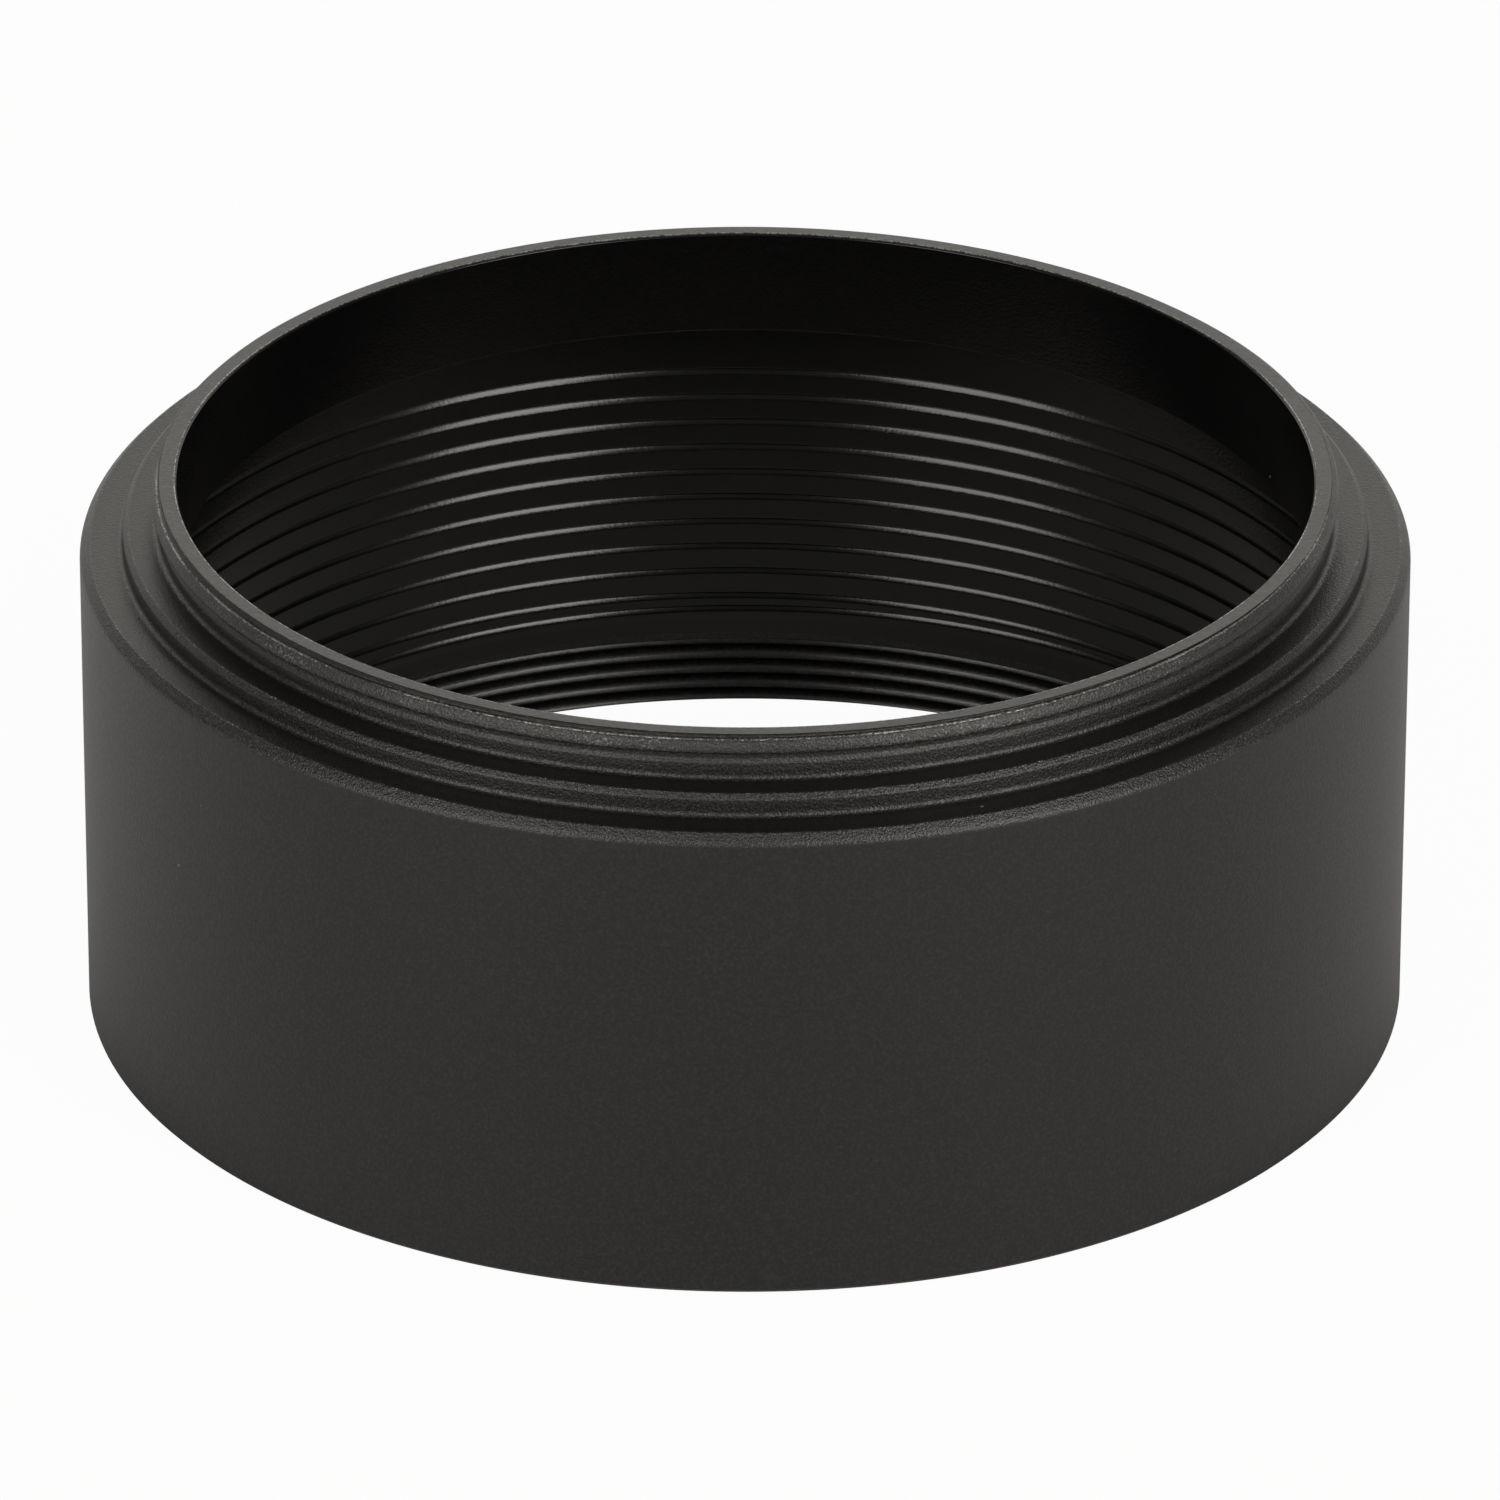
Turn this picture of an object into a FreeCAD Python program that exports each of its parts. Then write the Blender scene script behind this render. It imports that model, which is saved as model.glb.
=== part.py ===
"""Metal lens hood: one turned aluminium ring, standing on its wide end.

The origin is the centre of the wide end's face and +Z is the turning axis, towards the narrow
threaded collar. Lengths are in millimetres. The ring is a revolved section whose edges are
broken by chamfers and whose outer corners are eased, and a light-trap groove is cut into the
inner wall: a right-handed helix that starts in a ring-shaped relief above the front thread. Both
threads are plain here: the collar thread is a cylinder at its crests and the front thread a bore
at its crests.
"""

import FreeCAD, Part
import Sketcher
import os

NODE = "hood_ring"

# Driving dimensions, one row each: alias, size, what it is
SIZES = [
    ("total_height", 25.0, "wide end to the collar's rim"),
    ("collar_height", 2.1, "collar above the shoulder"),
    ("shoulder_height", 1.0, "shoulder above the body's top"),
    ("body_radius", 29.2, "outer wall of the body"),
    ("shoulder_radius", 27.35, "outer wall of the shoulder"),
    ("relief_radius", 25.75, "undercut below the collar thread"),
    ("relief_height", 0.95, "height of that undercut"),
    ("collar_thread_radius", 25.95, "crests of the 52 mm collar thread"),
    ("rim_radius", 25.65, "outer edge of the rim's flat face"),
    ("rim_bevel_height", 0.15, "height of the slope from the crests to the rim"),
    ("bore_radius", 24.9, "bore through the collar"),
    ("bore_length", 4.9, "length of that bore"),
    ("wall_radius", 27.65, "inner wall, and crests of the front thread"),
    ("body_chamfer", 0.45, "top outer edge of the body"),
    ("shoulder_chamfer", 0.35, "top outer edge of the shoulder"),
    ("foot_chamfer", 0.2, "bottom outer edge"),
    ("edge_break", 0.1, "inner edges of the mouth, the bore and the rim"),
    ("corner_ease", 0.15, "slope in the corners at the feet of the collar and the shoulder"),
    ("relief_centre", 4.68, "height of the ring-shaped groove's middle"),
    ("relief_mouth", 0.74, "its width at the wall"),
    ("relief_depth", 0.35, "its depth"),
    ("trap_pitch", 1.27, "rise of the light-trap groove in each turn"),
    ("trap_turns", 10.0, "turns of the light-trap groove"),
    ("trap_mouth", 0.62, "its width at the wall"),
    ("trap_depth", 0.31, "its depth"),
    ("trap_start_angle", -77.0, "where it leaves the relief, from +X about +Z"),
    ("tool_clearance", 0.15, "how far each groove's outline reaches into the open bore"),
]

# Heights above the wide end, as sums of the sheet's cells
RIM_TOP = "sizes.total_height"
BEVEL_FOOT = "sizes.total_height - sizes.rim_bevel_height"
SHOULDER_TOP = "sizes.total_height - sizes.collar_height"
THREAD_FOOT = "sizes.total_height - sizes.collar_height + sizes.relief_height"
BODY_TOP = "sizes.total_height - sizes.collar_height - sizes.shoulder_height"
CEILING = "sizes.total_height - sizes.bore_length"
BASE = "0"


def fill_sheet(doc):
    """The spreadsheet of driving dimensions: a plain number and an alias in each row."""
    sheet = doc.addObject("Spreadsheet::Sheet", "sizes")
    for row, (alias, size, meaning) in enumerate(SIZES, start=1):
        sheet.set(f"A{row}", meaning)
        sheet.set(f"B{row}", str(size))
        sheet.setAlias(f"B{row}", alias)
    doc.recompute()
    return sheet


def origin_plane(body, role):
    """One of the body's own origin planes, found by its role."""
    return next(item for item in body.Origin.OriginFeatures if item.Role == role)


def section_sketch(body, name):
    """An empty sketch on the XZ plane: its X is the radius and its Y the height."""
    sketch = body.newObject("Sketcher::SketchObject", name)
    sketch.AttachmentSupport = [(origin_plane(body, "XZ_Plane"), "")]
    sketch.MapMode = "FlatFace"
    return sketch


def draw_outline(sketch, corners):
    """A closed outline through (radius, height) corners, each an expression of the sheet's cells.

    Lines that share a radius are vertical, lines that share a height are horizontal, and every
    other coordinate is a distance from the origin, bound to its expression.
    """
    here = [
        FreeCAD.Vector(number(sketch, radius), number(sketch, height), 0)
        for radius, height in corners
    ]
    count = len(corners)
    for i in range(count):
        sketch.addGeometry(Part.LineSegment(here[i], here[(i + 1) % count]), False)
    for i in range(count):
        after = (i + 1) % count
        sketch.addConstraint(Sketcher.Constraint("Coincident", i, 2, after, 1))
        if corners[i][0] == corners[after][0]:
            sketch.addConstraint(Sketcher.Constraint("Vertical", i))
        elif corners[i][1] == corners[after][1]:
            sketch.addConstraint(Sketcher.Constraint("Horizontal", i))
    for i in range(count):
        radius, height = corners[i]
        if radius != corners[i - 1][0]:
            pin_down(sketch, "DistanceX", i, here[i].x, radius)
        if height == BASE and corners[i - 1][1] != BASE:
            sketch.addConstraint(Sketcher.Constraint("PointOnObject", i, 1, -1))
        elif height != corners[i - 1][1]:
            pin_down(sketch, "DistanceY", i, here[i].y, height)


def pin_down(sketch, kind, line, distance, expression):
    """The start of a line stays at that distance from the origin, as the expression says."""
    index = sketch.addConstraint(Sketcher.Constraint(kind, -1, 1, line, 1, distance))
    sketch.setExpression(f"Constraints[{index}]", expression)


def number(item, expression):
    """The value of an expression of the sheet's cells."""
    value = item.evalExpression(expression)
    return float(getattr(value, "Value", value))


def circle_names(feature, radius, height):
    """Names of the feature's circular edges about the Z axis, of that radius and height."""
    near = 1e-4
    return [
        f"Edge{i}"
        for i, edge in enumerate(feature.Shape.Edges, start=1)
        if isinstance(edge.Curve, Part.Circle)
        and abs(edge.Curve.Radius - number(feature, radius)) < near
        and abs(edge.Curve.Center.z - number(feature, height)) < near
    ]


def chamfer_edges(body, name, base, size, circles):
    """A chamfer of one size on the circular edges listed as (radius, height)."""
    names = [edge for circle in circles for edge in circle_names(base, *circle)]
    if len(names) < len(circles):
        raise RuntimeError(f"{name}: an edge to chamfer is missing")
    feature = body.newObject("PartDesign::Chamfer", name)
    feature.Base = (base, names)
    feature.setExpression("Size", size)
    body.Document.recompute()
    return feature


def turn_section(body):
    """The ring itself: its section, revolved about the Z axis."""
    sketch = section_sketch(body, "section")
    draw_outline(
        sketch,
        [
            ("sizes.body_radius", BASE),
            ("sizes.body_radius", BODY_TOP),
            ("sizes.shoulder_radius", BODY_TOP),
            ("sizes.shoulder_radius", SHOULDER_TOP),
            ("sizes.relief_radius", SHOULDER_TOP),
            ("sizes.relief_radius", THREAD_FOOT),
            ("sizes.collar_thread_radius", THREAD_FOOT),
            ("sizes.collar_thread_radius", BEVEL_FOOT),
            ("sizes.rim_radius", RIM_TOP),
            ("sizes.bore_radius", RIM_TOP),
            ("sizes.bore_radius", CEILING),
            ("sizes.wall_radius", CEILING),
            ("sizes.wall_radius", BASE),
        ],
    )
    ring = body.newObject("PartDesign::Revolution", "turned_ring")
    ring.Profile = sketch
    ring.ReferenceAxis = (sketch, ["V_Axis"])
    ring.Angle = 360.0
    body.Document.recompute()
    return ring


def break_edges(body, ring):
    """Chamfers on the outer and inner edges, and small slopes in the corners of the steps."""
    body_top = [("sizes.body_radius", BODY_TOP)]
    shoulder_top = [("sizes.shoulder_radius", SHOULDER_TOP)]
    foot = [("sizes.body_radius", BASE)]
    inner = [
        ("sizes.wall_radius", BASE),
        ("sizes.bore_radius", CEILING),
        ("sizes.bore_radius", RIM_TOP),
    ]
    corners = [("sizes.relief_radius", SHOULDER_TOP), ("sizes.shoulder_radius", BODY_TOP)]
    dressed = chamfer_edges(body, "body_edge", ring, "sizes.body_chamfer", body_top)
    dressed = chamfer_edges(body, "shoulder_edge", dressed, "sizes.shoulder_chamfer", shoulder_top)
    dressed = chamfer_edges(body, "foot_edge", dressed, "sizes.foot_chamfer", foot)
    dressed = chamfer_edges(body, "inner_edges", dressed, "sizes.edge_break", inner)
    return chamfer_edges(body, "step_corners", dressed, "sizes.corner_ease", corners)


def groove_outline(sketch, part):
    """A V groove's section: its root, and the ends of its flanks, which reach into the bore."""
    inner = "sizes.wall_radius - sizes.tool_clearance"
    root = f"sizes.wall_radius + sizes.{part}_depth"
    widening = f"(1 + sizes.tool_clearance / sizes.{part}_depth)"
    half_width = f"sizes.{part}_mouth / 2 * {widening}"
    middle = "sizes.relief_centre"
    draw_outline(
        sketch,
        [
            (inner, f"{middle} - {half_width}"),
            (root, middle),
            (inner, f"{middle} + {half_width}"),
        ],
    )


def cut_relief(body):
    """The ring-shaped groove that the light-trap groove runs out of."""
    sketch = section_sketch(body, "relief_section")
    groove_outline(sketch, "relief")
    relief = body.newObject("PartDesign::Groove", "relief_groove")
    relief.Profile = sketch
    relief.ReferenceAxis = (sketch, ["V_Axis"])
    relief.Angle = 360.0
    body.Document.recompute()
    return relief


def cut_light_trap(body):
    """The light-trap groove: its section carried up the wall along a right-handed helix."""
    sketch = section_sketch(body, "trap_section")
    turn = FreeCAD.Rotation(FreeCAD.Vector(0, 1, 0), 0)
    sketch.AttachmentOffset = FreeCAD.Placement(FreeCAD.Vector(0, 0, 0), turn)
    sketch.setExpression("AttachmentOffset.Rotation.Angle", "sizes.trap_start_angle")
    groove_outline(sketch, "trap")
    trap = body.newObject("PartDesign::SubtractiveHelix", "light_trap_groove")
    trap.Profile = sketch
    trap.ReferenceAxis = (sketch, ["V_Axis"])
    trap.Mode = "pitch-turns-angle"
    trap.setExpression("Pitch", "sizes.trap_pitch")
    trap.setExpression("Turns", "sizes.trap_turns")
    trap.LeftHanded = False
    trap.Reversed = False
    body.Document.recompute()
    return trap


def check_cut(before, after, name):
    """A cut has to take metal away."""
    if after.Shape.Volume >= before.Shape.Volume:
        raise RuntimeError(f"{name} took nothing away")


def build_ring(doc):
    """The whole hood, which is one piece."""
    body = doc.addObject("PartDesign::Body", NODE)
    body.Label = NODE
    edged = break_edges(body, turn_section(body))
    relief = cut_relief(body)
    check_cut(edged, relief, "the relief groove")
    trap = cut_light_trap(body)
    check_cut(relief, trap, "the light-trap groove")
    body.Tip = trap
    body.Placement = FreeCAD.Placement()
    doc.recompute()
    return body


def check_document(doc, nodes):
    """Every object has to be in order, and every node one valid solid."""
    for item in doc.Objects:
        if {"Invalid", "Error"} & set(item.State):
            raise RuntimeError(f"{item.Name} is {item.State}")
    for node in nodes:
        if node.Shape.isNull() or not node.Shape.isValid() or len(node.Shape.Solids) != 1:
            raise RuntimeError(f"{node.Label} is not one valid solid")


def write_nodes(nodes):
    """Writes each node's solid to a STEP file of its own name."""
    os.makedirs("parts", exist_ok=True)
    for node in nodes:
        node.Shape.exportStep(f"parts/{node.Label}.step")
        print(node.Label, "volume", round(node.Shape.Volume, 1), "mm3")


document = FreeCAD.newDocument("lens_hood")
fill_sheet(document)
hood_nodes = [build_ring(document)]
check_document(document, hood_nodes)
write_nodes(hood_nodes)
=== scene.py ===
"""Metal lens hood: one turned ring of black anodised aluminium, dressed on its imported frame.

The ring is one closed surface. Its plain stretches are a section turned round the axis, and its
two threads and the light-trap groove are worked into the radius by formula, with the mesh rows
laid along each helix so that their edges come out clean.
"""

import math
from functools import partial
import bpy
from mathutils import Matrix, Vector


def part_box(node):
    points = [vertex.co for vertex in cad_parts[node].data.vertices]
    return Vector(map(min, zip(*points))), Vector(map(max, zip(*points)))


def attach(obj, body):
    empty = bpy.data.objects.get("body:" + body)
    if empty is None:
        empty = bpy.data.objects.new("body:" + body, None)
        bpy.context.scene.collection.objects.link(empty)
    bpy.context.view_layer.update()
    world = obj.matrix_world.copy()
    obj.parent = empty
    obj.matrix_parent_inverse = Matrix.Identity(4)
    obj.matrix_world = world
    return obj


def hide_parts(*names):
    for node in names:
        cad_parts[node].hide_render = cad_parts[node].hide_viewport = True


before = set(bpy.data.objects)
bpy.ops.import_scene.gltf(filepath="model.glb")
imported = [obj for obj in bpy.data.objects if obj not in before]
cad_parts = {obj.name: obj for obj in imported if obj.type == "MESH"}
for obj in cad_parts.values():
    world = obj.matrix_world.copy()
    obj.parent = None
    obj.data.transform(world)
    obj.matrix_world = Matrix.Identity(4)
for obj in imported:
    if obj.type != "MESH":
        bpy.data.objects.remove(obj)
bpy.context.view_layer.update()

from types import SimpleNamespace

import bpy
import numpy as np
from mathutils import Matrix, Vector

bl_info = {
    "name": "Turned lens hood",
    "version": (1, 0, 0),
    "blender": (4, 5, 0),
    "location": "3D View > Sidebar > Lens hood",
    "description": "Makes a threaded metal lens hood with its light trap, and the plain studio round it",
    "category": "Add Mesh",
}

NODE = "hood_ring"
RING_LOW, RING_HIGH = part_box(NODE)
MM = 0.001


def length(name, value, description):
    """A size in metres, given here in millimetres."""
    return bpy.props.FloatProperty(name=name, description=description, default=value * MM, min=0.0,
                                   unit="LENGTH", precision=5)


def shade(name, value, description):
    """A grey or colour of the finish."""
    return bpy.props.FloatVectorProperty(name=name, description=description, default=value, size=3,
                                         min=0.0, max=1.0, subtype="COLOR")


def share(name, value, description):
    """A plain number between nothing and one."""
    return bpy.props.FloatProperty(name=name, description=description, default=value, min=0.0, max=1.0,
                                   subtype="FACTOR")


def degrees(name, value, description):
    """An angle, given here in degrees."""
    return bpy.props.FloatProperty(name=name, description=description, default=math.radians(value),
                                   subtype="ANGLE")


def own_properties(settings):
    """The properties that a settings group declares itself."""
    return [item for item in settings.bl_rna.properties if item.identifier not in {"rna_type", "name"}]


class HoodBlank(bpy.types.PropertyGroup):
    """Sizes of the turned ring before its threads are cut."""

    height: length("Height", RING_HIGH[2] / MM, "Foot to rim")
    body_radius: length("Body radius", RING_HIGH[0] / MM, "Outside of the body")
    body_top: length("Body top", 21.93, "Height of the flat round the foot of the shoulder")
    shoulder_radius: length("Shoulder radius", 27.30, "Outside of the stepped shoulder")
    shoulder_top: length("Shoulder top", 22.93, "Height of the flat round the foot of the collar")
    land_radius: length("Land radius", 25.77, "Plain neck below the collar thread")
    rim_radius: length("Rim radius", 25.65, "Outer edge of the rim face")
    bore_radius: length("Bore radius", 24.9, "The opening that light passes through")
    bore_bottom: length("Bore bottom", 20.2, "Lower edge of the bore")
    ceiling: length("Ceiling", 20.1, "Height of the inner ceiling round the bore")
    wall_radius: length("Wall radius", 27.65, "Inner wall that carries the light trap")
    body_chamfer: length("Body chamfer", 0.41, "Slope round the top of the body")
    shoulder_chamfer: length("Shoulder chamfer", 0.22, "Slope round the top of the shoulder")
    foot_chamfer: length("Foot chamfer", 0.2, "Slope round the foot")
    fillet: length("Fillet", 0.22, "Hollow corners left by the tool's nose")
    body_round: length("Body round", 0.45, "Soft lower edge of the body chamfer")
    shoulder_round: length("Shoulder round", 0.15, "Soft lower edge of the shoulder chamfer")
    edge: length("Edge round", 0.05, "Rounding that blasting leaves on every sharp edge")


class HoodThreads(bpy.types.PropertyGroup):
    """Sizes of the collar thread, the front thread and the light trap."""

    collar_pitch: length("Collar pitch", 1.0, "Rise of the collar thread in one turn")
    collar_crest: length("Collar crest", 26.0, "Radius over the collar thread")
    collar_root: length("Collar root", 25.67, "Radius at the bottom of the collar thread")
    collar_start: length("Collar start", 24.06, "Height of the collar thread's root at the front")
    front_pitch: length("Front pitch", 0.752, "Rise of the front thread in one turn")
    front_root: length("Front root", 28.15, "Radius at the bottom of the front thread")
    front_crest: length("Front crest", 27.65, "Radius inside the front thread")
    front_start: length("Front start", 3.0, "Height of the front thread's top crest at the back")
    front_top: length("Front top", 3.42, "Where the front thread runs out into its relief")
    band_radius: length("Band radius", 27.75, "Plain relief between front thread and ring groove")
    ring_root: length("Ring root", 4.825, "Height of the ring groove that the light trap runs out of")
    trap_pitch: length("Trap pitch", 1.27, "Rise of the light-trap groove in one turn")
    trap_depth: length("Trap depth", 0.15, "Depth of the light-trap groove")
    trap_shoulder: length("Trap shoulder", 0.28, "Height of the groove's leaning lower side")
    trap_lip: length("Trap lip", 0.05, "Height of the groove's steep upper side")
    trap_turns: bpy.props.IntProperty(name="Trap turns", description="Whole turns of the light trap",
                                      default=10, min=1)
    trap_angle: degrees("Trap angle", -98.5, "Where the light trap begins")


class HoodFinish(bpy.types.PropertyGroup):
    """Colours and surface of the black anodising."""

    black: shade("Black", (0.0032, 0.0030, 0.0030), "Dyed oxide, away from any light")
    bare: shade("Bare metal", (0.42, 0.41, 0.40), "Aluminium where a burr has lost its oxide")
    dust: shade("Dust", (0.16, 0.155, 0.15), "Fine dust on the finish")
    side_rough: share("Side roughness", 0.47, "Roughness of the blasted outside")
    face_rough: share("Chamfer roughness", 0.37, "Roughness of the chamfers, hollows and steps")
    flat_rough: share("Flat roughness", 0.37, "Roughness of the level flats")
    inner_rough: share("Inner roughness", 0.20, "Roughness of the inside")
    thread_rough: share("Thread roughness", 0.41, "Roughness of the collar thread")
    front_rough: share("Front thread roughness", 0.31, "Roughness of the front thread")
    rim_rough: share("Rim roughness", 0.33, "Roughness of the rim face")
    wear: share("Wear", 0.42, "How much of the thread edges shines")


class HoodStage(bpy.types.PropertyGroup):
    """The floor, the light and the camera."""

    floor: shade("Floor", (0.68, 0.67, 0.65), "Colour of the paper floor")
    warm: shade("Warmth", (1.0, 0.965, 0.91), "Colour of the lamps")
    back_light: bpy.props.FloatProperty(name="Back light", description="Brightness of the paper behind",
                                        default=1.6, min=0.0)
    side_light: share("Side light", 0.08, "Brightness of the surroundings at the sides")
    high_light: share("High light", 0.06, "Brightness above the paper")
    top_light: share("Top light", 0.15, "Added brightness straight above")
    lamp_power: bpy.props.FloatProperty(name="Lamp power", description="Power of each soft lamp",
                                        default=5.85, min=0.0, unit="POWER")
    lamp_width: length("Lamp width", 480.0, "Width of each soft lamp")
    lamp_height: length("Lamp height", 800.0, "Height of each soft lamp")
    lamp_turn: degrees("Lamp turn", 45.0, "Angle of each lamp from the camera's side")
    lamp_rise: degrees("Lamp rise", 30.0, "Angle of each lamp above the floor")
    camera_distance: length("Camera distance", 612.0, "From the camera to the middle of the ring")
    camera_rise: degrees("Camera rise", 26.7486, "Angle of the camera above the horizon")
    lens: bpy.props.FloatProperty(name="Lens", description="Focal length on a 36 mm sensor",
                                  default=332.1, min=1.0, unit="CAMERA")


# Shape, in millimetres until RingSurface.mesh turns the points into metres

COLUMNS = 288  # points round each row
ARC_STEPS = 4  # steps in each rounded corner of the section
CORNER_ROWS = ARC_STEPS + 3  # rows of a rounded corner: its arc and one spare row on each side
NECK_TOP = 23.35  # where the plain neck gives way to the collar's climbing rows
RIM_DROP = 0.006  # how far under the rim those rows end
TRAP_TOP = 18.1  # where the climbing rows of the inner wall end, above the light trap
MERGE = 0.012  # climbing rows nearer than this to the end of their stretch fall together with it

SIDE, FACE, FLAT, INNER, COLLAR, RIM, FRONT = range(7)  # zones, each with its own finish


def in_mm(settings):
    """The settings as plain values under the same names, with every length in millimetres."""
    values = {}
    for item in own_properties(settings):
        value = getattr(settings, item.identifier)
        values[item.identifier] = value / MM if item.unit == "LENGTH" else value
    return SimpleNamespace(**values)


def rounded_section(corners):
    """Rows of a plain stretch of the section, as radius, height and edge value.

    The corners are given as radius, height, rounding and edge value. Straight runs join them. Each
    corner between two runs is replaced by the arc of its own rounding that touches both: points at
    equal turns round the arc's centre, which lies on the bisector at the rounding over the cosine
    of half the turn. One more row stands a little way along each run, so that a flat stays flat
    where it is shaded next to an arc.
    """
    corners = np.asarray(corners, float)
    point, radius, edge = corners[:, :2], corners[:, 2], corners[:, 3]
    run = np.diff(point, axis=0)
    run /= np.linalg.norm(run, axis=1)[:, None]
    rows = [[*point[0], edge[0]]]
    for k in range(1, len(point) - 1):
        before, after = run[k - 1], run[k]
        half = math.acos(float(np.clip(before @ after, -1.0, 1.0))) / 2
        reach = radius[k] * math.tan(half)
        along = (before + after) / np.linalg.norm(before + after)
        outward = (before - after) / np.linalg.norm(before - after)
        centre = point[k] - outward * radius[k] / math.cos(half)
        turn = np.linspace(-half, half, ARC_STEPS + 1)[:, None]
        arc = centre + radius[k] * (np.cos(turn) * outward + np.sin(turn) * along)
        spare = 0.04 + 0.3 * radius[k]
        rows.append([*(point[k] - before * (reach + spare)), 0.0])
        rows += [[*p, edge[k]] for p in arc]
        rows.append([*(point[k] + after * (reach + spare)), 0.0])
    rows.append([*point[-1], edge[-1]])
    return np.array(rows)


def smooth_rise(value, ease):
    """Value where it is above nothing and nothing below, with the corner eased: the mean of value
    and the root of value squared plus ease squared."""
    return 0.5 * (value + np.sqrt(value * value + ease * ease))


def smooth_step(value):
    """From nothing to one as value goes from nothing to one, level at both ends: value squared
    times three less twice value."""
    value = np.clip(value, 0.0, 1.0)
    return value * value * (3 - 2 * value)


def eased_table(x, knots, ease):
    """Straight lines through the knots, averaged over a short window so that each corner is round."""
    knots = np.asarray(knots, float)
    spread = np.linspace(-1.0, 1.0, 9) * ease
    return np.mean([np.interp(x + s, knots[:, 0], knots[:, 1]) for s in spread], axis=0)


def turn_share(angle, start):
    """Part of a turn from the start angle to this angle, from nothing up to one."""
    return np.mod((angle - start) / (2 * math.pi), 1.0)


def front_azimuth(angle):
    """Azimuth from the front (-Y), growing towards +X, between -pi and pi."""
    return np.mod(angle + math.pi / 2 + math.pi, 2 * math.pi) - math.pi


def no_edge(angle, z):
    """No worn edge anywhere."""
    return np.zeros_like(z)


def collar_sway(azimuth):
    """How far the collar thread stands below a true helix: it was chased a little askew."""
    return 0.04 * np.sin(azimuth)


def collar_helix(azimuth, cut):
    """Height of the collar thread's root: its height at the front, plus the pitch times the part of
    a turn gone, less the sway."""
    return cut.collar_start + cut.collar_pitch * azimuth / (2 * math.pi) - collar_sway(azimuth)


def collar_radius(azimuth, z, blank, cut):
    """Radius of the collar at an azimuth from the front (-pi to pi) and a height.

    Height above the helix picks the radius from one table: above the root comes the thread, once
    a pitch, and below it the groove's run-out and the plain neck. From past the right side round to
    the back, the table one pitch lower takes over, so the lowest groove fades in there. The rim's
    bevel limits the radius.
    """
    pitch, root, crest, land = cut.collar_pitch, cut.collar_root, cut.collar_crest, blank.land_radius
    # The thread by height in pitches, and the neck below it by height in millimetres, with the radius
    thread = [(0.0, root), (0.03, root + 0.005), (0.17, crest - 0.02), (0.21, crest), (0.32, crest - 0.012),
              (0.42, crest - 0.04), (0.52, crest - 0.085), (0.64, crest - 0.15), (0.70, crest - 0.165),
              (0.755, crest - 0.165), (0.785, root - 0.01), (0.81, root - 0.03), (1.0, root)]
    thread = np.array(thread) * [pitch, 1.0]
    neck = [(-2.0, land), (-0.42, land), (-0.39, land - 0.006), (-0.22, root + 0.01), (-0.20, root)]
    knots = np.vstack([neck, thread, thread[1:] + [pitch, 0], thread[1:] + [2 * pitch, 0]])
    rise = z - collar_helix(azimuth, cut)
    here, lower = eased_table(rise, knots, 0.012), eased_table(rise + pitch, knots, 0.012)
    radius = here + (lower - here) * smooth_step((azimuth - math.radians(105)) / math.radians(75))
    bevel = blank.rim_radius + 2.0 * (blank.height - z)
    return bevel - smooth_rise(bevel - radius, 0.015)


def collar_edge(azimuth, z, cut):
    """Edge value on the collar, by the height above the thread's root in pitches: a narrow bell on the
    sharp corner that ends the crest's slope, plus a broad low one over the crest."""
    rise = (z - collar_helix(azimuth, cut)) / cut.collar_pitch
    return np.exp(-((rise - 0.757) / 0.012) ** 2) + 0.25 * np.exp(-((rise - 0.45) / 0.3) ** 4)


def groove_depth(rise, cut):
    """Depth of the light-trap groove at a height above its root.

    Straight lines, hardly eased: the lower side leans back in three steps, each steeper than the
    one below it, up to the root, and the lip above it hangs over almost level.
    """
    depth, shoulder, lip = cut.trap_depth, cut.trap_shoulder, cut.trap_lip
    knots = [(-9.0, 0.0), (-shoulder, 0.0), (-0.63 * shoulder, 0.25 * depth), (-0.3 * shoulder, 0.58 * depth),
             (0.0, depth), (lip, 0.0), (99.0, 0.0)]
    return eased_table(rise, knots, 0.006)


def wall_radius(angle, z, blank, cut):
    """Radius of the inner wall above its plain relief, at an angle and a height.

    The wall, plus whichever cuts deeper there: the ring groove or the light-trap groove. The
    groove's root stands at the ring's height plus the pitch times the turns gone since its start,
    and it gets shallower over its last sixteen degrees.
    """
    t = turn_share(angle, cut.trap_angle)
    last = cut.trap_turns - 1
    turns = np.ceil((z - cut.ring_root - cut.trap_lip) / cut.trap_pitch - t)
    turns = np.clip(turns, 0, last)
    rise = z - cut.ring_root - cut.trap_pitch * (turns + t)
    fade = np.where(turns == last, np.clip((1 - t) * 22, 0.0, 1.0), 1.0)
    trap, ring = groove_depth(rise, cut) * fade, groove_depth(z - cut.ring_root, cut)
    return blank.wall_radius + np.maximum(trap, ring)


def band_radius(z, blank, cut):
    """Radius of the stretch from the ring groove down to the front thread: the ring's lower side,
    then a slow step out to the plain relief."""
    ring = blank.wall_radius + groove_depth(z - cut.ring_root, cut)
    return ring + (cut.band_radius - blank.wall_radius) * smooth_step((cut.ring_root - 0.3 - z) / 0.5)


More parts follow.
